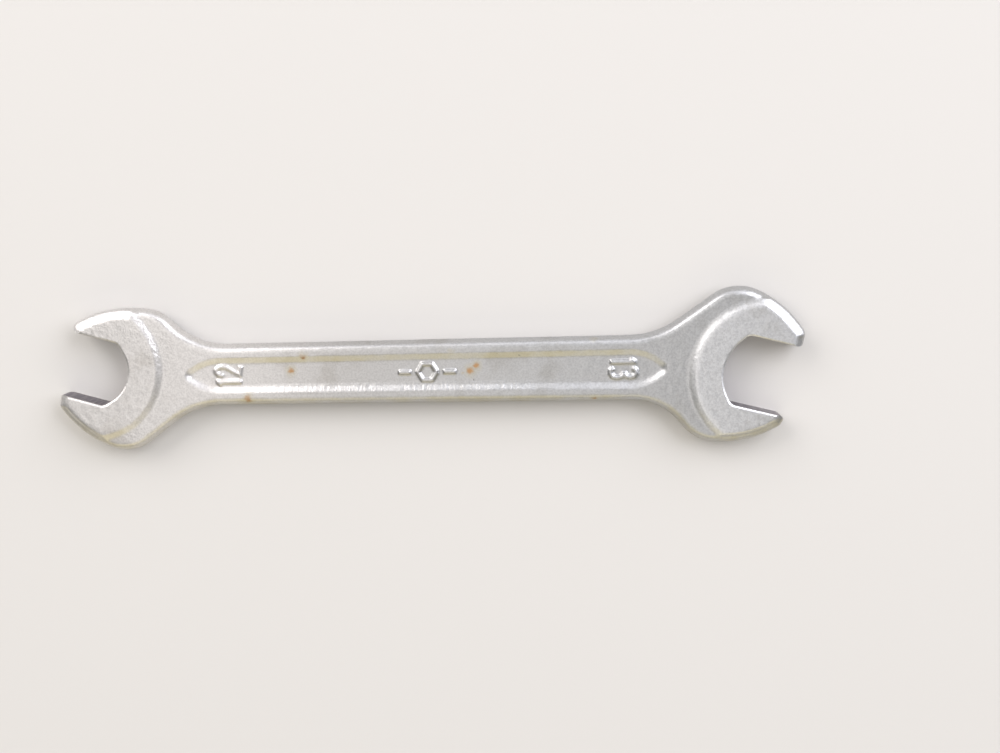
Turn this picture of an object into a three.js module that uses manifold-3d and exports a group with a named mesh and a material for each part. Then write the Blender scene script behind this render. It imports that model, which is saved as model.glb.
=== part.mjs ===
// Double open-end wrench, 12 mm and 13 mm, drop forged in one piece.
//
// Frame: millimetres. +X runs along the shank from the 12 mm head to the 13 mm head, +Y is across
// the shank, +Z is up. The wrench lies flat on the plane z = 0 with the middle of its outline box
// over the origin. Both faces are alike: each has the raised pads round the jaws, the sunk panel in
// the shank, and the raised size numbers at the ends of that panel.
import * as THREE from "three";
import { mergeVertices } from "three/addons/utils/BufferGeometryUtils.js";
import Module from "manifold-3d";

const wasm = await Module();
wasm.setup();

const RIGHT_ANGLE = Math.PI / 2;
const FULL_TURN = 2 * Math.PI;
const degrees = (angle) => (angle * Math.PI) / 180;

// ---------------------------------------------------------------- driving dimensions

const HEAD_SPAN = 126.5; // between the centres of the two heads
const PAD_THICKNESS = 5.2; // overall, over the pads round the jaws
const PAD_STEP = 0.6; // how far a pad stands above the neck and the shank, on each face
const PAD_STEP_RUN = 0.9; // width of the slope from a pad down to the neck
const PAD_WALL = 7.0; // from a jaw flat to the back edge of the pad round it
const PAD_ROUND = 1.9; // how far the rounded flank comes in over a pad
const SHANK_ROUND = 1.3; // radius of the shank's long edges
const PARTING_BAND = 0.4; // height of the upright band left at mid thickness by the dies

const PANEL_DEPTH = 0.65; // sunk panel, below the shank's face
const PANEL_DRAFT = 1.2; // width of the panel's sloping wall
const PANEL_RAIL = 2.45; // from the shank's edge to the top of that wall
const PANEL_POINT = 6.6; // length of the pointed end of the panel's floor

const MARK_RISE = 0.4; // raised numbers and symbol, above the panel's floor
const MARK_CLEARANCE = 0.2; // between a number and the panel's sloping wall
const STROKE_SHARE = 0.4; // a stroke's width, as a share of its digit's width
const FLAG_LENGTH = 1.2; // the short stroke at the top of a 1
const NUMBER_HEIGHT = 5.0; // along the shank
const NUMBER_GAP = 0.45; // between two digits
const NUMBER_INSET = 6.3; // from the point of the panel to the top of the digits
const SYMBOL_LENGTH = 11.4; // bar, hexagon and bar at mid shank
const SYMBOL_GAP = 1.0; // between the hexagon and each bar

const JAW_CORNER = 1.5; // fillet between a jaw flat and the throat
const JAW_LIP = 1.1; // rounding of the jaw's mouth
const NUT_CLEARANCE = 0.25; // between a nut's corner and the throat

// One entry for each head. `side` is -1 at the low-X end. `turn` is the angle of the forged head
// to the shank, and `jaw` is the opening, broached at its own angle and offset from the head.
// The outline of an arm is given by three corners, each (along, beyond, radius): `along` is measured
// out of the mouth from the head's centre, and `beyond` is measured outwards from the jaw flat.
const HEADS = [
  {
    number: "12",
    side: -1,
    rise: 1.1,
    turn: degrees(14),
    jaw: { width: 12.14, turn: degrees(16), along: 0.3, across: -0.55, throat: 7.6 },
    tip: [4.9, 2.15, PAD_ROUND + 0.25],
    flank: [-0.6, 6.5, 21],
    shoulder: [-10.2, 8.35, 7.7],
    neck: [
      [19.7, 13.8],
      [19.3, 15.7],
    ],
    shankHalf: 5.75,
    panelGap: 17.1,
  },
  {
    number: "13",
    side: 1,
    rise: 1.4,
    turn: degrees(13.6),
    jaw: { width: 13.15, turn: degrees(14.2), along: -0.35, across: -0.45, throat: 9.3 },
    tip: [4.9, 2.3, PAD_ROUND + 0.5],
    flank: [-0.5, 6.9, 20],
    shoulder: [-10.25, 9.0, 8.2],
    neck: [
      [19.6, 11.4],
      [20.7, 15.6],
    ],
    shankHalf: 6.15,
    panelGap: 18.0,
  },
];

const SHANK_THICKNESS = PAD_THICKNESS - 2 * PAD_STEP;
const SHANK_TOP = PAD_THICKNESS - PAD_STEP;
const PANEL_FLOOR = SHANK_TOP - PANEL_DEPTH;
const CUT_CLEAR = 2; // how far a cutting body runs past the face it cuts
const LEAST_STRAIGHT = 0.99; // share of a side that the arcs at its two ends may take
const SINK = 0.3; // how far a raised mark is rooted in the panel's floor

// ---------------------------------------------------------------- plane shapes

// A closed outline through corners [x, y, radius], each rounded by an arc of its own radius. Where
// two arcs would meet on a short side, both are made as small as the side needs.
function roundedShape(corners) {
  const points = corners.map(([x, y]) => new THREE.Vector2(x, y));
  const next = (i) => (i + 1) % corners.length;
  const halfAngles = points.map((point, i) => {
    const before = points.at(i - 1).clone().sub(point).normalize();
    const after = points[next(i)].clone().sub(point).normalize();
    return Math.acos(THREE.MathUtils.clamp(before.dot(after), -1, 1)) / 2;
  });
  const tangents = corners.map(([, , radius], i) => radius / Math.tan(halfAngles[i]));
  const room = points.map((point, i) => {
    const needed = tangents[i] + tangents[next(i)];
    return Math.min(1, (LEAST_STRAIGHT * point.distanceTo(points[next(i)])) / needed);
  });
  const shape = new THREE.Shape();
  points.forEach((point, i) => {
    const limit = Math.min(room.at(i - 1), room[i]);
    const radius = corners[i][2] * limit;
    const before = points.at(i - 1).clone().sub(point).normalize();
    const after = points[next(i)].clone().sub(point).normalize();
    const start = point.clone().addScaledVector(before, tangents[i] * limit);
    const end = point.clone().addScaledVector(after, tangents[i] * limit);
    const reach = radius / Math.sin(halfAngles[i]);
    const middle = before.add(after).normalize().multiplyScalar(reach).add(point);
    const from = Math.atan2(start.y - middle.y, start.x - middle.x);
    const to = Math.atan2(end.y - middle.y, end.x - middle.x);
    const sweep = THREE.MathUtils.euclideanModulo(to - from + Math.PI, FULL_TURN) - Math.PI;
    if (i === 0) shape.moveTo(start.x, start.y);
    shape.absarc(middle.x, middle.y, radius, from, to, sweep < 0);
  });
  shape.closePath();
  return shape;
}

// Turns (along, across) in a head's own axes into x and y. `along` points out of the mouth, and
// `across` is positive on the left of it.
function headPoint(centre, heading, along, across) {
  const x = centre.x + along * Math.cos(heading) - across * Math.sin(heading);
  const y = centre.y + along * Math.sin(heading) + across * Math.cos(heading);
  return [x, y];
}

const headCentre = ({ side, rise }) => new THREE.Vector2((side * HEAD_SPAN) / 2, -side * rise);
// The way out of the mouth: both heads open the same way round, so the wrench is S-shaped.
const outwards = ({ side }, turn) => (side > 0 ? 0 : Math.PI) - turn;

// Corners of one head's outline, anticlockwise, from one end of the shank round to the other.
function headCorners(head) {
  const centre = headCentre(head);
  const heading = outwards(head, head.turn);
  const arm = [head.shoulder, head.flank, head.tip];
  const right = arm.map(([along, beyond, radius]) => [
    ...headPoint(centre, heading, along, -(head.jaw.width / 2 + beyond)),
    radius,
  ]);
  const left = arm.map(([along, beyond, radius]) => [
    ...headPoint(centre, heading, along, head.jaw.width / 2 + beyond),
    radius,
  ]);
  const [enter, leave] = head.neck.map(([reach, radius], i) => {
    const edge = (i === 0 ? -1 : 1) * head.side * head.shankHalf;
    return [centre.x - head.side * reach, edge, radius];
  });
  return [enter, ...right, ...left.reverse(), leave];
}

const outline = roundedShape(HEADS.toReversed().flatMap(headCorners));

// The opening for the nut: two parallel flats, a curved throat and a rounded mouth.
function jawShape({ jaw, tip }) {
  const half = jaw.width / 2;
  const cornerReach = jaw.width / Math.sqrt(3);
  const apex = -(cornerReach + NUT_CLEARANCE);
  const throatSweep = Math.asin((half - JAW_CORNER) / jaw.throat);
  const mouth = tip[0] - jaw.along;
  const throatPoints = [1, 0.5, 0, -0.5, -1].map((share) => {
    const angle = share * throatSweep;
    return [apex + jaw.throat * (1 - Math.cos(angle)), jaw.throat * Math.sin(angle)];
  });
  const cornerAlong = throatPoints[0][0] + JAW_CORNER * Math.cos(throatSweep);
  const shape = new THREE.Shape();
  shape.moveTo(mouth + CUT_CLEAR, half + JAW_LIP);
  shape.lineTo(mouth, half + JAW_LIP);
  shape.absarc(mouth - JAW_LIP, half + JAW_LIP, JAW_LIP, 0, -RIGHT_ANGLE, true);
  shape.absarc(cornerAlong, half - JAW_CORNER, JAW_CORNER, RIGHT_ANGLE, Math.PI - throatSweep, false);
  throatPoints.slice(1, -1).forEach(([along, across]) => shape.lineTo(along, across));
  shape.absarc(cornerAlong, JAW_CORNER - half, JAW_CORNER, Math.PI + throatSweep, 3 * RIGHT_ANGLE, false);
  shape.absarc(mouth - JAW_LIP, -half - JAW_LIP, JAW_LIP, RIGHT_ANGLE, 0, true);
  shape.lineTo(mouth + CUT_CLEAR, -half - JAW_LIP);
  shape.closePath();
  return shape;
}

const floorHalf = (head) => head.shankHalf - PANEL_RAIL - PANEL_DRAFT;

// The panel's floor: straight sides that follow the shank's taper, and a pointed arch at each end.
function panelFloorShape() {
  const [low, high] = HEADS.map((head) => {
    const point = headCentre(head).x - head.side * (head.panelGap + PANEL_DRAFT * Math.SQRT2);
    const spring = point - head.side * PANEL_POINT;
    return { point, spring, bend: (point + spring) / 2, half: floorHalf(head) };
  });
  const shape = new THREE.Shape();
  shape.moveTo(low.point, 0);
  shape.quadraticCurveTo(low.bend, -low.half, low.spring, -low.half);
  shape.lineTo(high.spring, -high.half);
  shape.quadraticCurveTo(high.bend, -high.half, high.point, 0);
  shape.quadraticCurveTo(high.bend, high.half, high.spring, high.half);
  shape.lineTo(low.spring, low.half);
  shape.quadraticCurveTo(low.bend, low.half, low.point, 0);
  return shape;
}

// ---------------------------------------------------------------- solids

function solid(geometry) {
  const merged = geometry.clone();
  merged.deleteAttribute("normal");
  merged.deleteAttribute("uv");
  const { index, attributes } = mergeVertices(merged, 1e-4);
  const mesh = new wasm.Mesh({
    numProp: 3,
    vertProperties: new Float32Array(attributes.position.array),
    triVerts: new Uint32Array(index.array),
  });
  return new wasm.Manifold(mesh);
}

// A plate between two heights whose edges are rounded, or sloped where `steps` is 1. `inset` is how
// far an end face lies inside the shape, and `drop` is how high the edge's rounding is.
function plate(shape, bottom, top, { inset = 0, drop = 0, steps = 1, curveSegments = 7 } = {}) {
  const geometry = new THREE.ExtrudeGeometry(shape, {
    depth: top - bottom - 2 * drop,
    bevelEnabled: inset > 0,
    bevelSize: inset,
    bevelOffset: -inset,
    bevelThickness: drop,
    bevelSegments: steps,
    curveSegments,
  });
  return geometry.translate(0, 0, bottom + drop);
}

// The disc that a pad is cut from, with the slope down to the neck on both faces.
function padDisc(head) {
  const radius = head.jaw.width / 2 + PAD_WALL;
  const foot = radius + PAD_STEP_RUN;
  const points = [
    [0, 0],
    [radius, 0],
    [foot, PAD_STEP],
    [foot, SHANK_TOP],
    [radius, PAD_THICKNESS],
    [0, PAD_THICKNESS],
  ].map(([x, y]) => new THREE.Vector2(x, y));
  const [x, y] = jawCentre(head);
  return new THREE.LatheGeometry(points, 60).rotateX(RIGHT_ANGLE).translate(x, y, 0);
}

const jawCentre = (head) => {
  const heading = outwards(head, head.turn);
  return headPoint(headCentre(head), heading, head.jaw.along, head.jaw.across);
};

function forgedBlank() {
  const padHeight = (PAD_THICKNESS - PARTING_BAND) / 2;
  const shankHeight = (SHANK_THICKNESS - PARTING_BAND) / 2;
  const thick = solid(plate(outline, 0, PAD_THICKNESS, { inset: PAD_ROUND, drop: padHeight, steps: 4 }));
  const thin = plate(outline, PAD_STEP, SHANK_TOP, { inset: SHANK_ROUND, drop: shankHeight, steps: 3 });
  return HEADS.reduce((blank, head) => blank.add(thick.intersect(solid(padDisc(head)))), solid(thin));
}

function jawCutter(head) {
  const [x, y] = jawCentre(head);
  const geometry = plate(jawShape(head), -CUT_CLEAR, PAD_THICKNESS + CUT_CLEAR, { curveSegments: 5 });
  return solid(geometry.rotateZ(outwards(head, head.jaw.turn)).translate(x, y, 0));
}

// Cuts the panel into the upper face: its walls slope outwards from the floor.
function panelCutter() {
  const geometry = new THREE.ExtrudeGeometry(panelFloorShape(), {
    depth: CUT_CLEAR,
    bevelSize: PANEL_DRAFT,
    bevelThickness: PANEL_DEPTH,
    bevelSegments: 1,
    curveSegments: 5,
  });
  return solid(geometry.translate(0, 0, SHANK_TOP));
}

// ---------------------------------------------------------------- raised marks

// A bar of the given width from one point to another.
function bar([x0, y0], [x1, y1], width) {
  const length = Math.hypot(x1 - x0, y1 - y0);
  return new THREE.BoxGeometry(length, width, MARK_RISE + SINK)
    .rotateZ(Math.atan2(y1 - y0, x1 - x0))
    .translate((x0 + x1) / 2, (y0 + y1) / 2, 0);
}

// Part of a ring of the given width: `outer` is its outer radius.
function bow([x, y], outer, from, to, width) {
  const shape = new THREE.Shape();
  shape.absarc(x, y, outer, degrees(from), degrees(to), false);
  shape.absarc(x, y, outer - width, degrees(to), degrees(from), true);
  shape.closePath();
  return plate(shape, -(MARK_RISE + SINK) / 2, (MARK_RISE + SINK) / 2, { curveSegments: 9 });
}

// Each digit stands on y = 0, from x = 0 to its width, and is as tall as `height`.
const DIGITS = {
  1: (width, height, stroke) => {
    const stem = width / 2;
    const flagTop = height - stroke / 2;
    return [
      bar([stem, 0], [stem, height], stroke),
      bar([stem - FLAG_LENGTH / 2, flagTop - FLAG_LENGTH / 2], [stem, flagTop], stroke),
    ];
  },
  2: (width, height, stroke) => {
    const radius = width / 2;
    const low = stroke / 2;
    return [
      bow([radius, height - radius], radius, -35, 165, stroke),
      bar([low, low], [0.86 * width, height - 1.45 * radius], stroke),
      bar([0, low], [width, low], stroke),
    ];
  },
  3: (width, height, stroke) => {
    const radius = Math.min(width / 2, (height + stroke) / 4);
    const upper = height - radius;
    return [
      bow([radius, upper], radius, -90, 150, stroke),
      bow([radius, upper - 2 * radius + stroke], radius, -150, 90, stroke),
      bar([radius, upper - radius + stroke / 2], [radius - stroke / 2, upper - radius + stroke / 2], stroke),
    ];
  },
};

// The size number at a head's end of the panel, its top towards the jaw.
function sizeNumber(head) {
  const room = 2 * (floorHalf(head) - MARK_CLEARANCE);
  const digitWidth = (room - NUMBER_GAP) / head.number.length;
  const stroke = STROKE_SHARE * digitWidth;
  const top = headCentre(head).x - head.side * (head.panelGap + NUMBER_INSET);
  return [...head.number].flatMap((digit, i) =>
    DIGITS[digit](digitWidth, NUMBER_HEIGHT, stroke).map((piece) =>
      piece
        .translate(i * (digitWidth + NUMBER_GAP) - room / 2, -NUMBER_HEIGHT, 0)
        .rotateZ(-head.side * RIGHT_ANGLE)
        .translate(top, 0, 0),
    ),
  );
}

// A plain symbol at mid shank: a hexagon between two bars.
function symbol() {
  const half = Math.min(...HEADS.map(floorHalf)) - MARK_CLEARANCE;
  const hexagon = new THREE.CylinderGeometry(half, half, MARK_RISE + SINK, 6).rotateX(RIGHT_ANGLE);
  const near = half + SYMBOL_GAP;
  const far = SYMBOL_LENGTH / 2;
  const width = STROKE_SHARE * half;
  return [hexagon.rotateZ(RIGHT_ANGLE), bar([near, 0], [far, 0], width), bar([-near, 0], [-far, 0], width)];
}

function raisedMarks() {
  const strokes = [...HEADS.flatMap(sizeNumber), ...symbol()];
  const height = PANEL_FLOOR + (MARK_RISE - SINK) / 2;
  return strokes
    .map((stroke) => solid(stroke.translate(0, 0, height)))
    .reduce((marks, stroke) => marks.add(stroke));
}

// ---------------------------------------------------------------- assembly

// The same body on the other face: turned half a turn about the shank's own axis.
function otherFace(body) {
  return body.rotate([180, 0, 0]).translate([0, 0, PAD_THICKNESS]);
}

function wrench() {
  const panel = panelCutter();
  const marks = raisedMarks();
  const cuts = [panel, otherFace(panel), ...HEADS.map(jawCutter)];
  const cut = cuts.reduce((body, cutter) => body.subtract(cutter), forgedBlank());
  return cut.add(marks).add(otherFace(marks));
}

function geometryOf(body) {
  const { vertProperties, triVerts } = body.getMesh();
  const geometry = new THREE.BufferGeometry();
  geometry.setAttribute("position", new THREE.BufferAttribute(vertProperties, 3));
  geometry.setIndex(new THREE.BufferAttribute(triVerts, 1));
  geometry.computeBoundingBox();
  const middle = geometry.boundingBox.getCenter(new THREE.Vector3());
  geometry.translate(-middle.x, -middle.y, 0);
  geometry.computeVertexNormals();
  return geometry;
}

const platedSteel = new THREE.MeshStandardMaterial({ color: "#c9c8c4", roughness: 0.35, metalness: 1 });

const forging = new THREE.Mesh(geometryOf(wrench()), platedSteel);
forging.name = "wrench_forging";

const group = new THREE.Group();
group.add(forging);

export default group;
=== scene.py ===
import math

import bmesh
import bpy
from bpy.props import FloatProperty, FloatVectorProperty, PointerProperty
from bpy.types import Operator, Panel, PropertyGroup
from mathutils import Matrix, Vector


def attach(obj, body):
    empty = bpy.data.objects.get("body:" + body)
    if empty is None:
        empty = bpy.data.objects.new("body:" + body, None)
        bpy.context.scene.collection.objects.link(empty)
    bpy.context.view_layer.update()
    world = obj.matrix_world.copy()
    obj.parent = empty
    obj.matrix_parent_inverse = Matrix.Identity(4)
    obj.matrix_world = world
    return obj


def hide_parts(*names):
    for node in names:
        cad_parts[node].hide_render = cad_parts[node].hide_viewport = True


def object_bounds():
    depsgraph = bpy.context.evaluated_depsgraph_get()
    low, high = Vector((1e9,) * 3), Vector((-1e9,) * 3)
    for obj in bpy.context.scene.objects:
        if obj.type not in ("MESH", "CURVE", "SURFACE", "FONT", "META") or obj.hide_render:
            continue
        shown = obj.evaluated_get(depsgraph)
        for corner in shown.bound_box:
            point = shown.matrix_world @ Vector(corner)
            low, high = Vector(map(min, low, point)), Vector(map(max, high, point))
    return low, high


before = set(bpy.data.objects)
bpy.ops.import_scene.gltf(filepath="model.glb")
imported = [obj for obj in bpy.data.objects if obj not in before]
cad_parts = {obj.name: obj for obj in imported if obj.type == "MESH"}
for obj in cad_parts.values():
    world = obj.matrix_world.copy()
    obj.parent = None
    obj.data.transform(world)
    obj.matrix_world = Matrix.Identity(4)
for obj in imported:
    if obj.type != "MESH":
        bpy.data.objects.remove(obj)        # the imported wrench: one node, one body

bl_info = {
    "name": "Double open-end wrench",
    "version": (1, 0, 0),
    "blender": (4, 5, 0),
    "location": "3D View > Sidebar > Wrench",
    "description": "Drop-forged open-end wrench with satin plating, and the stage it lies on",
    "category": "Object",
}

NODE = "wrench_forging"
BODY = "root"
CAD_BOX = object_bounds()

# The forging is modelled at one unit to the millimetre, where Blender's operators keep their
# precision, and is brought to metres when it is done.
MM = 0.001
TO_MM = 1 / MM
MID_HEIGHT = 2.6 * MM   # of the parting line

# ---------------------------------------------------------------- sizes in millimetres

PAD_STEP = 0.6          # a pad stands this far above the shank, on each face
PAD_WALL = 6.5          # from a jaw flat to the back edge of its pad
PAD_STEP_RUN = 1.35     # width of the slope from a pad down to the neck
FLASH_HEIGHT = 0.4      # the trimmed flash along the parting line
FLASH_PROUD = 0.14      # it stands out of the flanks by this much

# A rounded flank from the flash up to a face, as (run inwards, rise) from ring to ring.
PAD_SLOPE = ((0.08, 0.9), (0.1, 0.45), (0.2, 0.28), (0.3, 0.22), (0.33, 0.18), (0.33, 0.16),
             (0.3, 0.13), (0.3, 0.11))
PAD_LEDGE = ((0.12, 0.5), (0.16, 0.42), (0.24, 0.36), (0.32, 0.24), (0.34, 0.12), (0.2, 0.12),
             (0.26, 0.3), (0.3, 0.2))
SHANK_FLANK = ((0.1, 0.42), (0.14, 0.36), (0.22, 0.32), (0.3, 0.25), (0.34, 0.15), (0.3, 0.05))

PANEL_DEPTH = 0.65
PANEL_DRAFT = 1.2       # width of the sunk panel's sloping wall
PANEL_RAIL = 2.45       # from the shank's edge to the top of that wall
PANEL_ARCH = 6.6        # length of the pointed arch at each end of the panel's floor
PANEL_ARCH_ROUND = 7.5
PANEL_TIP_ROUND = 0.3

MARK_STROKE = 0.92      # width of a stroke at the panel's floor
NUMBER_HEIGHT = 4.6     # between the middles of the strokes
NUMBER_INSET = 6.6      # from the point of the panel's wall to the top stroke's middle
SYMBOL_LENGTH = 10.6
SYMBOL_BAR = 3.1        # from the middle to the near end of each bar
HEXAGON = 1.75          # from the middle to a corner of the hexagon

JAW_CORNER = 1.5        # fillet between a jaw flat and the throat
JAW_LIP = 1.3           # rounding of the jaw's mouth
JAW_EDGE = ((0.42, 0.0), (0.16, 0.09), (0.04, 0.2), (0.0, 0.34))    # (out of the wall, depth)
NUT_CLEARANCE = 0.25

BLEND_VOXEL = 0.2       # mesh size while the forging's edges are blended
BLEND_PASSES = 5
MARK_VOXEL = 0.17       # mesh size once the raised marks are on
MARK_PASSES = 2
MOST_TRIANGLES = 180000
SMOOTH_ANGLE = math.radians(38)

CLEAR = 2.0             # how far a cutting body runs past the face it cuts
CORNER_SEGMENTS = 14
DISC_SEGMENTS = 96
LEAST_STRAIGHT = 0.99   # share of a side that the arcs at its two ends may take

# `side` is -1 at the low-X end. A corner is (along, beyond, radius): `along` is measured out of the
# mouth from the head's centre, and `beyond` outwards from the jaw flat. `neck` holds the two hollow
# corners where the head meets the shank, as (distance from the head's centre, radius).
HEADS = (
    {
        "number": "12", "side": -1, "rise": 1.1, "turn": math.radians(14),
        "jaw_turn": math.radians(16), "jaw_along": 0.3, "jaw_across": -0.55, "throat": 7.6,
        "tip": (4.9, 2.15, 2.15), "flank": (-0.6, 6.5, 21), "shoulder": (-10.2, 8.35, 7.7),
        "neck": ((19.7, 13.8), (19.3, 15.7)), "shank_half": 5.75, "panel_gap": 17.1,
    },
    {
        "number": "13", "side": 1, "rise": 1.4, "turn": math.radians(13.6),
        "jaw_turn": math.radians(14.2), "jaw_along": -0.35, "jaw_across": -0.45, "throat": 9.3,
        "tip": (4.9, 2.3, 2.4), "flank": (-0.5, 6.9, 20), "shoulder": (-10.25, 9.0, 8.2),
        "neck": ((19.6, 11.4), (20.7, 15.6)), "shank_half": 6.15, "panel_gap": 18.0,
    },
)

# Strokes of the digits in a box one wide and one high, the foot of the digit at height 0.
DIGITS = {
    "1": (((0.62, 0.0), (0.62, 1.0)), ((0.62, 0.97), (0.12, 0.8))),
    "2": (((0.02, 0.74), (0.12, 0.9), (0.32, 0.99), (0.6, 1.0), (0.86, 0.92), (0.98, 0.77),
           (0.93, 0.6), (0.06, 0.04), (1.0, 0.0)),),
    "3": (((0.0, 0.9), (0.18, 1.0), (0.55, 1.02), (0.88, 0.94), (0.97, 0.78), (0.85, 0.61),
           (0.5, 0.54)),
          ((0.5, 0.54), (0.9, 0.46), (1.02, 0.27), (0.9, 0.08), (0.55, -0.01), (0.18, 0.0),
           (0.0, 0.1))),
}
DIGIT_BOXES = {"1": (-1.85, 0.95), "2": (-0.1, 1.75), "3": (-0.1, 1.75)}    # (start, width) in mm

# Spots on the upper face, as (x, y, radius): rusted through, left rough by the die, or pitted dark.
RUST_SPOTS = (
    (-25.5, 0.4, 0.85), (9.2, 0.7, 0.8), (8.0, -0.2, 1.0), (6.55, -0.5, 0.35), (30.95, 6.0, 0.8),
    (31.0, -5.9, 0.7), (-33.8, -4.75, 1.0), (-23.2, 3.0, 0.85), (4.55, 3.5, 0.55),
)
ROUGH_SKIN = ((-62.0, 8.5, 8.0), (-55.0, 9.5, 6.0), (-55.5, -10.8, 4.0), (-49.5, 5.0, 6.0))
DARK_PITS = (
    (-23.2, 3.0, 0.4), (-20.65, 3.3, 0.28), (-44.75, 3.5, 0.3), (4.55, 3.5, 0.3), (13.2, 2.9, 0.25),
    (17.2, 2.5, 0.22), (19.9, -1.2, 0.25), (8.6, -1.9, 0.28), (-18.5, -4.3, 0.2), (33.0, 3.6, 0.18),
)


def hex_colour(code):
    """An sRGB hex value as linear red, green, blue and alpha."""
    parts = [int(code[i:i + 2], 16) / 255 for i in (1, 3, 5)]
    return [p / 12.92 if p <= 0.04045 else ((p + 0.055) / 1.055) ** 2.4 for p in parts] + [1.0]


# ---------------------------------------------------------------- what a user would change

class WrenchSizes(PropertyGroup):
    """Sizes of the wrench."""

    head_span: FloatProperty(
        name="Head span", description="Between the centres of the two heads",
        default=126.5 * MM, unit="LENGTH")
    thickness: FloatProperty(
        name="Thickness", description="Over the pads round the jaws",
        default=CAD_BOX[1].z - CAD_BOX[0].z, unit="LENGTH")
    jaw_12: FloatProperty(
        name="Small jaw", description="Opening across the flats of the 12 mm jaw",
        default=12.14 * MM, unit="LENGTH")
    jaw_13: FloatProperty(
        name="Large jaw", description="Opening across the flats of the 13 mm jaw",
        default=13.15 * MM, unit="LENGTH")
    peel: FloatProperty(
        name="Skin relief", description="Height of the unevenness of the blasted skin",
        default=0.045 * MM, unit="LENGTH")


class WrenchColours(PropertyGroup):
    """Colours of the wrench and its stage."""

    plating: FloatVectorProperty(
        name="Plating", description="Satin nickel and chrome plating over blasted steel",
        subtype="COLOR", size=4, min=0, max=1, default=hex_colour("#dcdddf"))
    # Painted light: this warmer, lighter plating stands for the brighter, warmer light that falls towards the
    # small jaw.
    warm_lit_plating: FloatVectorProperty(
        name="Warm plating", description="The plating where it has dulled, towards the small jaw",
        subtype="COLOR", size=4, min=0, max=1, default=hex_colour("#e0dedd"))
    # Painted warm shade on faces turned to low Y, and real stain round the rust spots.
    stain_and_warm_shade: FloatVectorProperty(
        name="Tarnish", description="Yellow-brown film in the corners of the panel",
        subtype="COLOR", size=4, min=0, max=1, default=hex_colour("#bdb592"))
    rust: FloatVectorProperty(
        name="Rust", description="Small spots where the plating is broken",
        subtype="COLOR", size=4, min=0, max=1, default=hex_colour("#a06f2c"))
    # Painted shade: the jaw walls are drawn darker than the plating to stand for the shade inside the jaws.
    painted_wall_shade: FloatVectorProperty(
        name="Broached steel", description="Cut walls of the jaws",
        subtype="COLOR", size=4, min=0, max=1, default=hex_colour("#8f8a90"))
    floor: FloatVectorProperty(
        name="Floor", description="Plain pale floor",
        subtype="COLOR", size=4, min=0, max=1, default=hex_colour("#cdcbc8"))


# ---------------------------------------------------------------- places worked out from the sizes

def head_centre(head, sizes):
    return Vector((head["side"] * sizes.head_span * TO_MM / 2, -head["side"] * head["rise"]))


def jaw_width(head, sizes):
    return (sizes.jaw_12 if head["number"] == "12" else sizes.jaw_13) * TO_MM


def outwards(head, turn):
    """The heading out of a mouth. Both heads open the same way round."""
    return (0 if head["side"] > 0 else math.pi) - turn


def head_point(centre, heading, along, across):
    ahead = Vector((math.cos(heading), math.sin(heading)))
    return centre + along * ahead + across * ahead.orthogonal()


def jaw_centre(head, sizes):
    heading = outwards(head, head["turn"])
    return head_point(head_centre(head, sizes), heading, head["jaw_along"], head["jaw_across"])


def head_corners(head, sizes):
    """Corners (x, y, radius) of one head's outline, anticlockwise from shank to shank."""
    centre = head_centre(head, sizes)
    heading = outwards(head, head["turn"])
    half = jaw_width(head, sizes) / 2
    arm = (head["shoulder"], head["flank"], head["tip"])
    right = [(*head_point(centre, heading, a, -half - b), r) for a, b, r in arm]
    left = [(*head_point(centre, heading, a, half + b), r) for a, b, r in reversed(arm)]
    feet = [(centre.x - head["side"] * reach, sign * head["side"] * head["shank_half"], radius)
            for sign, (reach, radius) in zip((-1, 1), head["neck"])]
    return [feet[0], *right, *left, feet[1]]


def rounded_outline(corners, segments=CORNER_SEGMENTS):
    """Points of a closed outline, anticlockwise, each with its direction outwards.

    Each corner (x, y, radius) becomes an arc. Where two arcs would meet on a short side, both are
    made as small as the side needs.
    """
    places = [Vector(corner[:2]) for corner in corners]
    sides = [(places[(i + 1) % len(places)] - place) for i, place in enumerate(places)]
    halves = [(-sides[i - 1]).angle(side) / 2 for i, side in enumerate(sides)]
    tangents = [radius / math.tan(half) for (_, _, radius), half in zip(corners, halves)]
    room = [min(1, LEAST_STRAIGHT * side.length / (tangents[i] + tangents[(i + 1) % len(places)]))
            for i, side in enumerate(sides)]
    outline = []
    for i, (place, half) in enumerate(zip(places, halves)):
        radius = corners[i][2] * min(room[i - 1], room[i])
        bulge = 1 if sides[i - 1].x * sides[i].y - sides[i - 1].y * sides[i].x > 0 else -1
        inwards = (sides[i].normalized() - sides[i - 1].normalized()).normalized()
        middle = place + inwards * radius / math.sin(half)
        sweep = math.pi - 2 * half
        facing = math.atan2(-inwards.y, -inwards.x)
        for step in range(segments + 1):
            angle = facing + bulge * sweep * (step / segments - 0.5)
            ahead = Vector((math.cos(angle), math.sin(angle)))
            outline.append((middle + radius * ahead, bulge * ahead))
    return outline


def disc_outline(centre, radius):
    angles = [2 * math.pi * i / DISC_SEGMENTS for i in range(DISC_SEGMENTS)]
    return [(centre + radius * Vector((math.cos(a), math.sin(a))), Vector((math.cos(a), math.sin(a))))
            for a in angles]


def wrench_outline(sizes):
    small, large = HEADS
    return rounded_outline(head_corners(large, sizes) + head_corners(small, sizes))


def outline_middle(sizes):
    """Middle of the outline's box, which stands over the origin in the end."""
    points = [point for point, _ in wrench_outline(sizes)]
    return Vector([(min(p[i] for p in points) + max(p[i] for p in points)) / 2 for i in (0, 1)])


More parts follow.
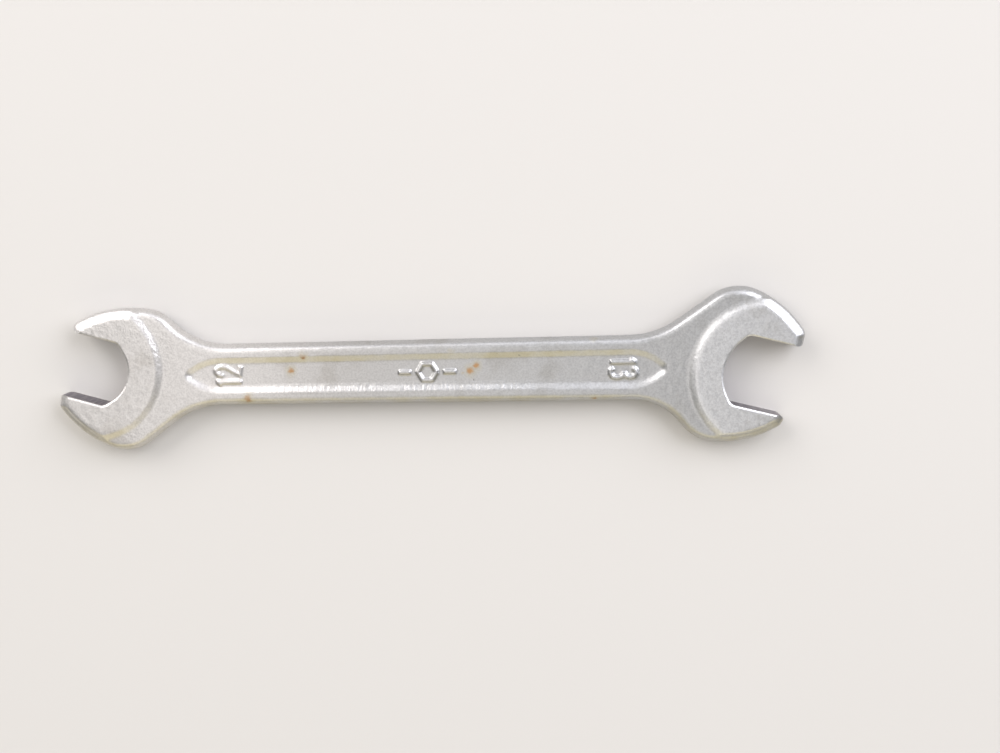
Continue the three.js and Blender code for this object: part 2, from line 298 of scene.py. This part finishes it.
def panel_corners(sizes):
    """Corners of the sunk panel's floor: straight sides and a pointed arch at each end."""
    ends = []
    for head in HEADS:
        side = head["side"]
        point = head_centre(head, sizes).x - side * (head["panel_gap"] + PANEL_DRAFT * math.sqrt(2))
        half = head["shank_half"] - PANEL_RAIL - PANEL_DRAFT
        bend = point - side * PANEL_ARCH / 2
        ends.append([(bend, side * half * turn, PANEL_ARCH_ROUND) for turn in (-1, 1)])
        ends[-1].insert(1, (point, 0, PANEL_TIP_ROUND))
    return ends[1] + ends[0]


def jaw_corners(head, sizes):
    """Corners of a jaw's opening in its own axes: X out of the mouth, the origin between the flats."""
    half = jaw_width(head, sizes) / 2
    apex = -(2 * half / math.sqrt(3) + NUT_CLEARANCE)
    mouth = head["tip"][0] - head["jaw_along"]
    sag = head["throat"] - math.sqrt(head["throat"] ** 2 - half ** 2)
    flat_end = apex + sag
    return [
        (flat_end, half, JAW_CORNER), (apex - 0.15, half * 0.45, head["throat"]),
        (apex - 0.15, -half * 0.45, head["throat"]), (flat_end, -half, JAW_CORNER),
        (mouth, -half, JAW_LIP), (mouth, -half - 3 * JAW_LIP, 0.01),
        (mouth + 3 * CLEAR, -half - 3 * JAW_LIP, 0.01), (mouth + 3 * CLEAR, half + 3 * JAW_LIP, 0.01),
        (mouth, half + 3 * JAW_LIP, 0.01), (mouth, half, JAW_LIP),
    ]


# ---------------------------------------------------------------- modelling

def only(*pieces):
    """Selects these pieces and nothing else. The first one is active."""
    bpy.ops.object.select_all(action="DESELECT")
    for piece in pieces:
        piece.select_set(True)
    bpy.context.view_layer.objects.active = pieces[0]


def loft(name, outline, profile):
    """A closed body through rings of one outline, each an (inset, height), from the bottom up.

    The profile is the same all round, or is a function of the direction outwards.
    """
    bpy.ops.object.select_all(action="DESELECT")
    bpy.ops.mesh.primitive_circle_add(vertices=len(outline), fill_type="NGON", enter_editmode=True)
    piece = bpy.context.object
    piece.name = name
    columns = []
    for point, outside in outline:
        rings = profile(outside) if callable(profile) else profile
        columns.append([(*(point - inset * outside), height) for inset, height in rings])
    mesh = bmesh.from_edit_mesh(piece.data)
    place = mesh.verts.layers.int.new("place")
    for i, vertex in enumerate(mesh.verts):
        vertex[place] = i
    for ring in range(len(columns[0])):
        if ring:
            bpy.ops.mesh.extrude_region_move()
            mesh = bmesh.from_edit_mesh(piece.data)
            place = mesh.verts.layers.int["place"]
        for vertex in (v for v in mesh.verts if v.select):
            vertex.co = columns[vertex[place]][ring]
    bmesh.update_edit_mesh(piece.data)
    bpy.ops.mesh.select_all(action="SELECT")
    bpy.ops.mesh.normals_make_consistent(inside=False)
    bpy.ops.object.mode_set(mode="OBJECT")
    return piece


def modify(piece, kind, **settings):
    """Adds a modifier with its settings and applies it."""
    only(piece)
    modifier = piece.modifiers.new(kind.title(), kind)
    for setting, value in settings.items():
        setattr(modifier, setting, value)
    bpy.ops.object.modifier_apply(modifier=modifier.name)
    return piece


def combine(piece, other, operation):
    modify(piece, "BOOLEAN", object=other, operation=operation, solver="EXACT",
           material_mode="TRANSFER")
    bpy.data.objects.remove(other)
    return piece


def join(pieces):
    only(*pieces)
    bpy.ops.object.join()
    return bpy.context.object


def flank(steps, top, ledge=0):
    """Rings (inset, height) from the flash up to a face this far above the parting line."""
    half = FLASH_HEIGHT / 2
    stretch = (top - half) / sum(rise for _, rise in steps)
    rings = [(0, half), (ledge, half)]
    for run, rise in steps:
        inset, height = rings[-1]
        rings.append((inset + run, height + rise * stretch))
    return rings


def both_faces(lower, upper, middle):
    return [(inset, middle - height) for inset, height in reversed(lower)] + [
        (inset, middle + height) for inset, height in upper]


def pad_flank(middle):
    """A pad's flank is one slope on its high-Y side, and has a narrow ledge on its low-Y side.

    The lower face is the upper one turned over about the shank, so there the two change places.
    """
    slope, stepped = flank(PAD_SLOPE, middle), flank(PAD_LEDGE, middle)

    def face(turned):
        share = min(1, max(0, -2.5 * turned))
        return [tuple(a + share * (b - a) for a, b in zip(*pair)) for pair in zip(slope, stepped)]

    return lambda outside: both_faces(face(-outside.y), face(outside.y), middle)


def forged_blank(sizes):
    """The shank and necks, and a thicker pad round each jaw."""
    thickness = sizes.thickness * TO_MM
    middle = thickness / 2
    outline = wrench_outline(sizes)
    shank_flank = flank(SHANK_FLANK, middle - PAD_STEP, FLASH_PROUD)
    blank = loft("shank", outline, both_faces(shank_flank, shank_flank, middle))
    pads = []
    for head in HEADS:
        pad = loft("pad", outline, pad_flank(middle))
        radius = jaw_width(head, sizes) / 2 + PAD_WALL + PAD_STEP_RUN
        disc = loft("pad disc", disc_outline(jaw_centre(head, sizes), radius), (
            (PAD_STEP_RUN, -0.01), (0, PAD_STEP), (0, thickness - PAD_STEP),
            (PAD_STEP_RUN, thickness + 0.01)))
        pads.append(combine(pad, disc, "INTERSECT"))
    return blank, pads, thickness


def sink_panels(blank, thickness, sizes):
    """Sinks the long panel into both faces of the shank."""
    outline = rounded_outline(panel_corners(sizes))
    floor = thickness - PAD_STEP - PANEL_DEPTH
    slope = PANEL_DRAFT / PANEL_DEPTH
    upper = [(0, floor), (-PANEL_DRAFT, floor + PANEL_DEPTH),
             (-PANEL_DRAFT - slope, floor + PANEL_DEPTH + 1)]
    combine(blank, loft("panel", outline, upper), "DIFFERENCE")
    lower = [(inset, thickness - height) for inset, height in reversed(upper)]
    combine(blank, loft("panel", outline, lower), "DIFFERENCE")


def stroke(points, width, height):
    """A rounded ridge along the points."""
    curve = bpy.data.curves.new("stroke", "CURVE")
    curve.dimensions = "3D"
    curve.bevel_depth = width / 2
    curve.bevel_resolution = 3
    curve.use_fill_caps = True
    line = curve.splines.new("POLY")
    line.points.add(len(points) - 1)
    for knot, (x, y) in zip(line.points, points):
        knot.co = (x, y, height, 1)
    ridge = bpy.data.objects.new("stroke", curve)
    bpy.context.collection.objects.link(ridge)
    only(ridge)
    bpy.ops.object.convert(target="MESH")
    return bpy.context.object


def raised_marks(height, sizes):
    """Strokes of the size numbers and of the symbol on the upper panel's floor."""
    strokes = []
    for head in HEADS:
        side = head["side"]
        top = head_centre(head, sizes).x - side * (head["panel_gap"] + NUMBER_INSET)
        for digit in head["number"]:
            start, width = DIGIT_BOXES[digit]
            for line in DIGITS[digit]:
                points = [(top - side * NUMBER_HEIGHT * (1 - v), -side * (start + width * u))
                          for u, v in line]
                strokes.append(stroke(points, MARK_STROKE, height))
    for sign in (-1, 1):
        bar = [(sign * SYMBOL_BAR, 0), (sign * SYMBOL_LENGTH / 2, 0)]
        strokes.append(stroke(bar, MARK_STROKE, height))
    angles = [math.pi * i / 3 for i in range(7)]
    ring = [(HEXAGON * math.cos(a), HEXAGON * math.sin(a)) for a in angles]
    strokes.append(stroke(ring, MARK_STROKE, height))
    return strokes


def group_by_place(piece, name, weigh):
    """A vertex group whose weights come from each vertex's place."""
    group = piece.vertex_groups.new(name=name)
    for vertex in piece.data.vertices:
        weight = weigh(vertex.co)
        if weight > 0:
            group.add([vertex.index], weight, "REPLACE")
    return group


def clouds(name, size, depth=1):
    texture = bpy.data.textures.new(name, "CLOUDS")
    texture.noise_scale = size
    texture.noise_depth = depth
    return texture


def cut_jaws(piece, thickness, sizes, plating, walls):
    """Broaches both jaws, with a small plated rounding along the edges of each face."""
    rings = [(-inset, depth) for inset, depth in JAW_EDGE]
    for head in HEADS:
        heading = outwards(head, head["jaw_turn"])
        centre = jaw_centre(head, sizes)
        outline = []
        for point, outside in rounded_outline(jaw_corners(head, sizes)):
            ahead = Vector((math.cos(heading), math.sin(heading)))
            turned = outside.x * ahead + outside.y * ahead.orthogonal()
            outline.append((head_point(centre, heading, point.x, point.y), turned))
        cutter = loft("jaw", outline, [(rings[0][0], -CLEAR), *rings] + [
            (inset, thickness - depth) for inset, depth in reversed(rings)] + [
            (rings[0][0], thickness + CLEAR)])
        cutter.data.materials.append(plating)
        cutter.data.materials.append(walls)
        for face in cutter.data.polygons:
            # The walls take the darker steel of painted shade, and the roundings take the plating.
            face.material_index = 1 if abs(face.normal.z) < 0.1 else 0
        combine(piece, cutter, "DIFFERENCE")


# ---------------------------------------------------------------- materials

def add_node(tree, kind, settings=None, inputs=None):
    """Adds a node. An input that is a socket is linked, and any other is the socket's value."""
    node = tree.nodes.new(kind)
    for name, value in (settings or {}).items():
        setattr(node, name, value)
    for name, value in (inputs or {}).items():
        if isinstance(value, bpy.types.NodeSocket):
            tree.links.new(value, node.inputs[name])
        else:
            node.inputs[name].default_value = value
    return node


def new_material(name):
    material = bpy.data.materials.new(name)
    material.use_nodes = True
    material.node_tree.nodes.clear()
    return material, material.node_tree


def graded(tree, value, low, high):
    """0 where the value is at or under `low`, and 1 at or over `high`. Also works downwards."""
    return add_node(tree, "ShaderNodeMapRange", {"interpolation_type": "SMOOTHSTEP"}, {
        "Value": value, "From Min": low, "From Max": high}).outputs["Result"]


def combined(tree, operation, *values):
    node = add_node(tree, "ShaderNodeMath", {"operation": operation})
    for socket, value in zip(node.inputs, values):
        if isinstance(value, bpy.types.NodeSocket):
            tree.links.new(value, socket)
        else:
            socket.default_value = value
    return node.outputs["Value"]


def mixed(tree, share, under, over, blend="MIX"):
    """Colour `over` laid on `under` by its share."""
    node = add_node(tree, "ShaderNodeMix", {"data_type": "RGBA", "blend_type": blend})
    for socket, value in zip((node.inputs[0], node.inputs[6], node.inputs[7]), (share, under, over)):
        if isinstance(value, bpy.types.NodeSocket):
            tree.links.new(value, socket)
        else:
            socket.default_value = value
    return node.outputs[2]


def noise(tree, coords, size, detail=2.0, roughness=0.5, stretch=(1, 1, 1)):
    """Noise whose lumps are `size` millimetres across, or longer where the stretch is over 1."""
    placed = add_node(tree, "ShaderNodeMapping", inputs={
        "Vector": coords, "Scale": [TO_MM / size / s for s in stretch]}).outputs["Vector"]
    return add_node(tree, "ShaderNodeTexNoise", inputs={
        "Vector": placed, "Scale": 1.0, "Detail": detail, "Roughness": roughness}).outputs["Fac"]


def spots(tree, coords, places, height):
    """1 at the middle of each spot, down to 0 at its radius. Places are (x, y, radius) in mm."""
    shares = []
    for x, y, radius in places:
        away = add_node(tree, "ShaderNodeVectorMath", {"operation": "DISTANCE"}, {0: coords})
        away.inputs[1].default_value = (x * MM, y * MM, height * MM)
        shares.append(graded(tree, away.outputs["Value"], radius * MM, 0.25 * radius * MM))
    share = shares[0]
    for other in shares[1:]:
        share = combined(tree, "MAXIMUM", share, other)
    return share


def satin_plated_steel(colours):
    """Nickel-chrome plating on a blasted forging.

    The plating gives a pale metal that reflects softly. The blasted skin under it shows as a fine
    grain with low lumps, and the plating has yellowed round spots where it has rusted through.
    Painted light and shade are in its colour too: yellow-brown warm shade on faces turned to low Y,
    darker shade on the sunk shank and panel, and warmer, lighter plating towards the small jaw.
    """
    material, tree = new_material("satin_plated_forged_steel")
    coords = add_node(tree, "ShaderNodeTexCoord").outputs["Object"]
    place = add_node(tree, "ShaderNodeSeparateXYZ", inputs={"Vector": coords})
    x, y = place.outputs["X"], place.outputs["Y"]
    # The blasting grit is about 0.2 mm. The grain is drawn at twice that, so that it shows.
    grain = noise(tree, coords, 0.36, 2.0, 0.6)
    lumps = noise(tree, coords, 1.3, 3.0, 0.55)
    patches = noise(tree, coords, 7.0, 3.0, 0.6)

    # Painted light: the plating is drawn warmer and lighter towards the small jaw, at low X.
    painted_warm_light = graded(tree, x, 30 * MM, -45 * MM)
    colour = mixed(tree, painted_warm_light, colours.plating, colours.warm_lit_plating)
    colour = mixed(tree, graded(tree, grain, 0.62, 0.36), colour, (0.87, 0.87, 0.87, 1), "MULTIPLY")
    colour = mixed(tree, graded(tree, patches, 0.52, 0.75), colour, (0.88, 0.87, 0.85, 1), "MULTIPLY")

    # Painted shade: the sunk shank and panel are drawn darker than the pads, from the low-X neck onwards.
    depth = combined(tree, "ABSOLUTE", combined(tree, "SUBTRACT", place.outputs["Z"], MID_HEIGHT), 0.0)
    painted_shank_shade = combined(tree, "MULTIPLY", graded(tree, depth, 2.4 * MM, 2.1 * MM),
                    graded(tree, x, -42 * MM, -12 * MM))
    colour = mixed(tree, painted_shank_shade, colour, (0.76, 0.76, 0.755, 1), "MULTIPLY")

    # Painted warm shade: faces turned to low Y, away from the light, are drawn yellow-brown in patches.
    facing = add_node(tree, "ShaderNodeNewGeometry").outputs["Normal"]
    facing = add_node(tree, "ShaderNodeSeparateXYZ", inputs={"Vector": facing}).outputs["Y"]
    painted_warm_shade = combined(tree, "MULTIPLY", graded(tree, facing, -0.12, -0.45), graded(tree, patches, 0.25, 0.7))
    colour = mixed(tree, combined(tree, "MULTIPLY", painted_warm_shade, 0.47), colour, colours.stain_and_warm_shade)

    swirl = add_node(tree, "ShaderNodeTexNoise", inputs={
        "Vector": coords, "Scale": TO_MM / 0.9, "Detail": 3.0}).outputs["Color"]
    shift = add_node(tree, "ShaderNodeVectorMath", {"operation": "MULTIPLY_ADD"}, {0: swirl, 2: coords})
    shift.inputs[1].default_value = (1.1 * MM,) * 3
    centred = add_node(tree, "ShaderNodeVectorMath", {"operation": "SUBTRACT"}, {0: shift.outputs["Vector"]})
    centred.inputs[1].default_value = (0.55 * MM,) * 3
    ragged = centred.outputs["Vector"]
    halos = spots(tree, ragged, [(x, y, 1.9 * radius) for x, y, radius in RUST_SPOTS], 4.2)
    colour = mixed(tree, combined(tree, "MULTIPLY", halos, 0.35), colour, colours.stain_and_warm_shade)
    rust = spots(tree, ragged, RUST_SPOTS, 4.2)
    colour = mixed(tree, combined(tree, "MULTIPLY", rust, 0.8), colour, colours.rust)
    dirt = spots(tree, ragged, DARK_PITS, 4.2)
    colour = mixed(tree, combined(tree, "MULTIPLY", dirt, 0.85), colour, hex_colour("#3c3324"))

    worn = combined(tree, "MAXIMUM", rust, dirt)
    roughness = combined(tree, "ADD", combined(tree, "MULTIPLY", grain, 0.14), 0.32)
    roughness = combined(tree, "ADD", roughness, combined(tree, "MULTIPLY", worn, 0.3))
    metallic = combined(tree, "SUBTRACT", 1.0, combined(tree, "MULTIPLY", worn, 0.7))

    # Chatter of the die along the panel's low-Y wall, strongest at mid shank.
    wall = combined(tree, "MULTIPLY", graded(tree, y, -2.0 * MM, -2.5 * MM),
                    graded(tree, y, -4.2 * MM, -3.6 * MM))
    wall = combined(tree, "MULTIPLY", wall, graded(tree, x, -36 * MM, -24 * MM))
    wall = combined(tree, "MULTIPLY", wall, graded(tree, x, 34 * MM, 8 * MM))
    chatter = combined(tree, "MULTIPLY", noise(tree, coords, 0.55, 2.0, 0.6, (1, 3, 3)), wall)
    height = combined(tree, "ADD", combined(tree, "MULTIPLY", grain, 0.35), lumps)
    height = combined(tree, "ADD", height, combined(tree, "MULTIPLY", chatter, 2.4))
    rough = combined(tree, "MULTIPLY", noise(tree, coords, 0.6, 2.0, 0.6), spots(tree, coords, ROUGH_SKIN, 4.6))
    height = combined(tree, "ADD", height, combined(tree, "MULTIPLY", rough, 1.6))
    bump = add_node(tree, "ShaderNodeBump", inputs={
        "Strength": 1.0, "Distance": 0.05 * MM, "Height": height}).outputs["Normal"]
    shader = add_node(tree, "ShaderNodeBsdfPrincipled", inputs={
        "Base Color": colour, "Metallic": metallic, "Roughness": roughness, "Normal": bump})
    add_node(tree, "ShaderNodeOutputMaterial", inputs={"Surface": shader.outputs["BSDF"]})
    return material


def shaded_broached_walls(colours):
    """Painted shade on the jaw walls: steel drawn darker than the plating for the shade inside the jaws, with
    fine broach lines through the thickness.
    """
    material, tree = new_material("shaded_broached_walls")
    coords = add_node(tree, "ShaderNodeTexCoord").outputs["Object"]
    lines = noise(tree, coords, 0.35, 3.0, 0.6, (1, 1, 12))
    colour = mixed(tree, graded(tree, lines, 0.35, 0.65), colours.painted_wall_shade, hex_colour("#6f6973"))
    bump = add_node(tree, "ShaderNodeBump", inputs={
        "Strength": 1.0, "Distance": 0.02 * MM, "Height": lines}).outputs["Normal"]
    shader = add_node(tree, "ShaderNodeBsdfPrincipled", inputs={
        "Base Color": colour, "Metallic": 1.0, "Roughness": 0.38, "Normal": bump})
    add_node(tree, "ShaderNodeOutputMaterial", inputs={"Surface": shader.outputs["BSDF"]})
    return material


def matt_floor(colours):
    material, tree = new_material("matt_paper_floor")
    shader = add_node(tree, "ShaderNodeBsdfPrincipled", inputs={
        "Base Color": colours.floor, "Roughness": 0.9})
    add_node(tree, "ShaderNodeOutputMaterial", inputs={"Surface": shader.outputs["BSDF"]})
    return material


# ---------------------------------------------------------------- stage

# Soft lights: name, place, size, power in watts and colour.
LIGHTS = (
    ("window", (-0.05, 0.8, 0.4), (1.6, 0.6), 3.1, "#fbfaff"),
    ("left softbox", (-0.66, 0.54, 0.54), (0.8, 0.6), 6.4, "#fffaf6"),
    ("right softbox", (0.74, 0.46, 0.58), (0.9, 0.9), 11.0, "#f8f8ff"),
    ("overhead", (-0.2, -0.06, 1.1), (1.5, 0.7), 3.1, "#fffaf7"),
    ("warm fill", (0.0, -0.8, 0.45), (1.6, 0.5), 2.6, "#fff5dc"),
)
WORLD_COLOUR = "#f2f1ee"
WORLD_STRENGTH = 0.32
FLOOR_SIZE = 4
CAMERA_PLACE = (21.500, 33.265, 233.718)    # in millimetres
CAMERA_TURN = (-8.620, 1.812, -1.233)       # in degrees


# ---------------------------------------------------------------- operators

class WRENCH_OT_forging(Operator):
    """Forge the wrench, raise its marks, roughen its skin and broach its jaws"""

    bl_idname = "wrench.forging"
    bl_label = "Forge wrench"

    def execute(self, context):
        sizes = context.scene.wrench_sizes
        colours = context.scene.wrench_colours
        blank, pads, thickness = forged_blank(sizes)
        middle = thickness / 2
        sink_panels(blank, thickness, sizes)
        body = join([blank, *pads])
        modify(body, "REMESH", mode="VOXEL", voxel_size=BLEND_VOXEL)
        group_by_place(body, "faces", lambda co: min(1, max(0, abs(co.z - middle) - 0.7) / 0.5))
        modify(body, "SMOOTH", factor=0.5, iterations=BLEND_PASSES, vertex_group="faces")
        marks = join(raised_marks(thickness - PAD_STEP - PANEL_DEPTH, sizes))
        only(marks)
        bpy.ops.object.duplicate()
        under = bpy.context.object
        bpy.ops.object.mode_set(mode="EDIT")
        bpy.ops.mesh.select_all(action="SELECT")
        bpy.ops.transform.rotate(value=math.pi, orient_axis="X", center_override=(0, 0, middle))
        bpy.ops.object.mode_set(mode="OBJECT")
        body = join([body, marks, under])
        body.vertex_groups.clear()
        modify(body, "REMESH", mode="VOXEL", voxel_size=MARK_VOXEL)
        modify(body, "SMOOTH", factor=0.5, iterations=MARK_PASSES)
        peel = sizes.peel * TO_MM
        modify(body, "DISPLACE", texture=clouds("blasted skin", 0.9, 2), strength=peel, mid_level=0.5,
               texture_coords="LOCAL")
        triangles = 2 * len(body.data.polygons)
        modify(body, "DECIMATE", ratio=min(1, MOST_TRIANGLES / triangles))
        plating = satin_plated_steel(colours)
        body.data.materials.clear()
        body.data.materials.append(plating)
        cut_jaws(body, thickness, sizes, plating, shaded_broached_walls(colours))
        middle_xy = outline_middle(sizes)
        only(body)
        bpy.ops.object.mode_set(mode="EDIT")
        bpy.ops.mesh.select_all(action="SELECT")
        bpy.ops.transform.translate(value=(-middle_xy.x, -middle_xy.y, 0))
        bpy.ops.transform.resize(value=(MM, MM, MM), center_override=(0, 0, 0))
        bpy.ops.object.mode_set(mode="OBJECT")
        bpy.ops.object.shade_smooth_by_angle(angle=SMOOTH_ANGLE)
        body.name = body.data.name = "wrench_body"
        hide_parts(NODE)
        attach(body, BODY)
        return {"FINISHED"}


class WRENCH_OT_stage(Operator):
    """Lay a plain pale floor, and set the soft lights and the camera"""

    bl_idname = "wrench.stage"
    bl_label = "Set stage"

    def execute(self, context):
        colours = context.scene.wrench_colours
        bpy.ops.object.select_all(action="DESELECT")
        bpy.ops.mesh.primitive_plane_add(size=FLOOR_SIZE)
        floor = context.object
        floor.name = "floor"
        floor.data.materials.append(matt_floor(colours))

        world = bpy.data.worlds.new("studio")
        world.use_nodes = True
        background = world.node_tree.nodes["Background"]
        background.inputs["Color"].default_value = hex_colour(WORLD_COLOUR)
        background.inputs["Strength"].default_value = WORLD_STRENGTH
        context.scene.world = world

        for name, place, size, power, colour in LIGHTS:
            bpy.ops.object.light_add(type="AREA", location=place)
            light = context.object
            light.name = light.data.name = name
            light.rotation_euler = (-Vector(place)).to_track_quat("-Z", "Y").to_euler()
            light.data.shape = "RECTANGLE"
            light.data.size, light.data.size_y = size
            light.data.energy = power
            light.data.color = hex_colour(colour)[:3]

        bpy.ops.object.camera_add(
            location=[MM * c for c in CAMERA_PLACE],
            rotation=[math.radians(a) for a in CAMERA_TURN])
        camera = context.object
        camera.data.lens = 45
        camera.data.sensor_width = 36
        camera.data.clip_start = 0.01
        context.scene.camera = camera
        context.scene.view_settings.view_transform = "Standard"
        return {"FINISHED"}


class WRENCH_PT_panel(Panel):
    """The wrench's sizes, colours and steps"""

    bl_idname = "WRENCH_PT_panel"
    bl_label = "Open-end wrench"
    bl_space_type = "VIEW_3D"
    bl_region_type = "UI"
    bl_category = "Wrench"

    def draw(self, context):
        column = self.layout.column()
        for group in (context.scene.wrench_sizes, context.scene.wrench_colours):
            for name in group.bl_rna.properties.keys():
                if name not in ("rna_type", "name"):
                    column.prop(group, name)
        for step in STEPS:
            column.operator(step.bl_idname)


STEPS = (WRENCH_OT_forging, WRENCH_OT_stage)
CLASSES = (WrenchSizes, WrenchColours, *STEPS, WRENCH_PT_panel)


def register():
    for cls in CLASSES:
        bpy.utils.register_class(cls)
    bpy.types.Scene.wrench_sizes = PointerProperty(type=WrenchSizes)
    bpy.types.Scene.wrench_colours = PointerProperty(type=WrenchColours)


def unregister():
    del bpy.types.Scene.wrench_colours
    del bpy.types.Scene.wrench_sizes
    for cls in reversed(CLASSES):
        bpy.utils.unregister_class(cls)


def main():
    register()
    bpy.ops.wrench.forging()
    bpy.ops.wrench.stage()


if __name__ == "__main__":
    main()
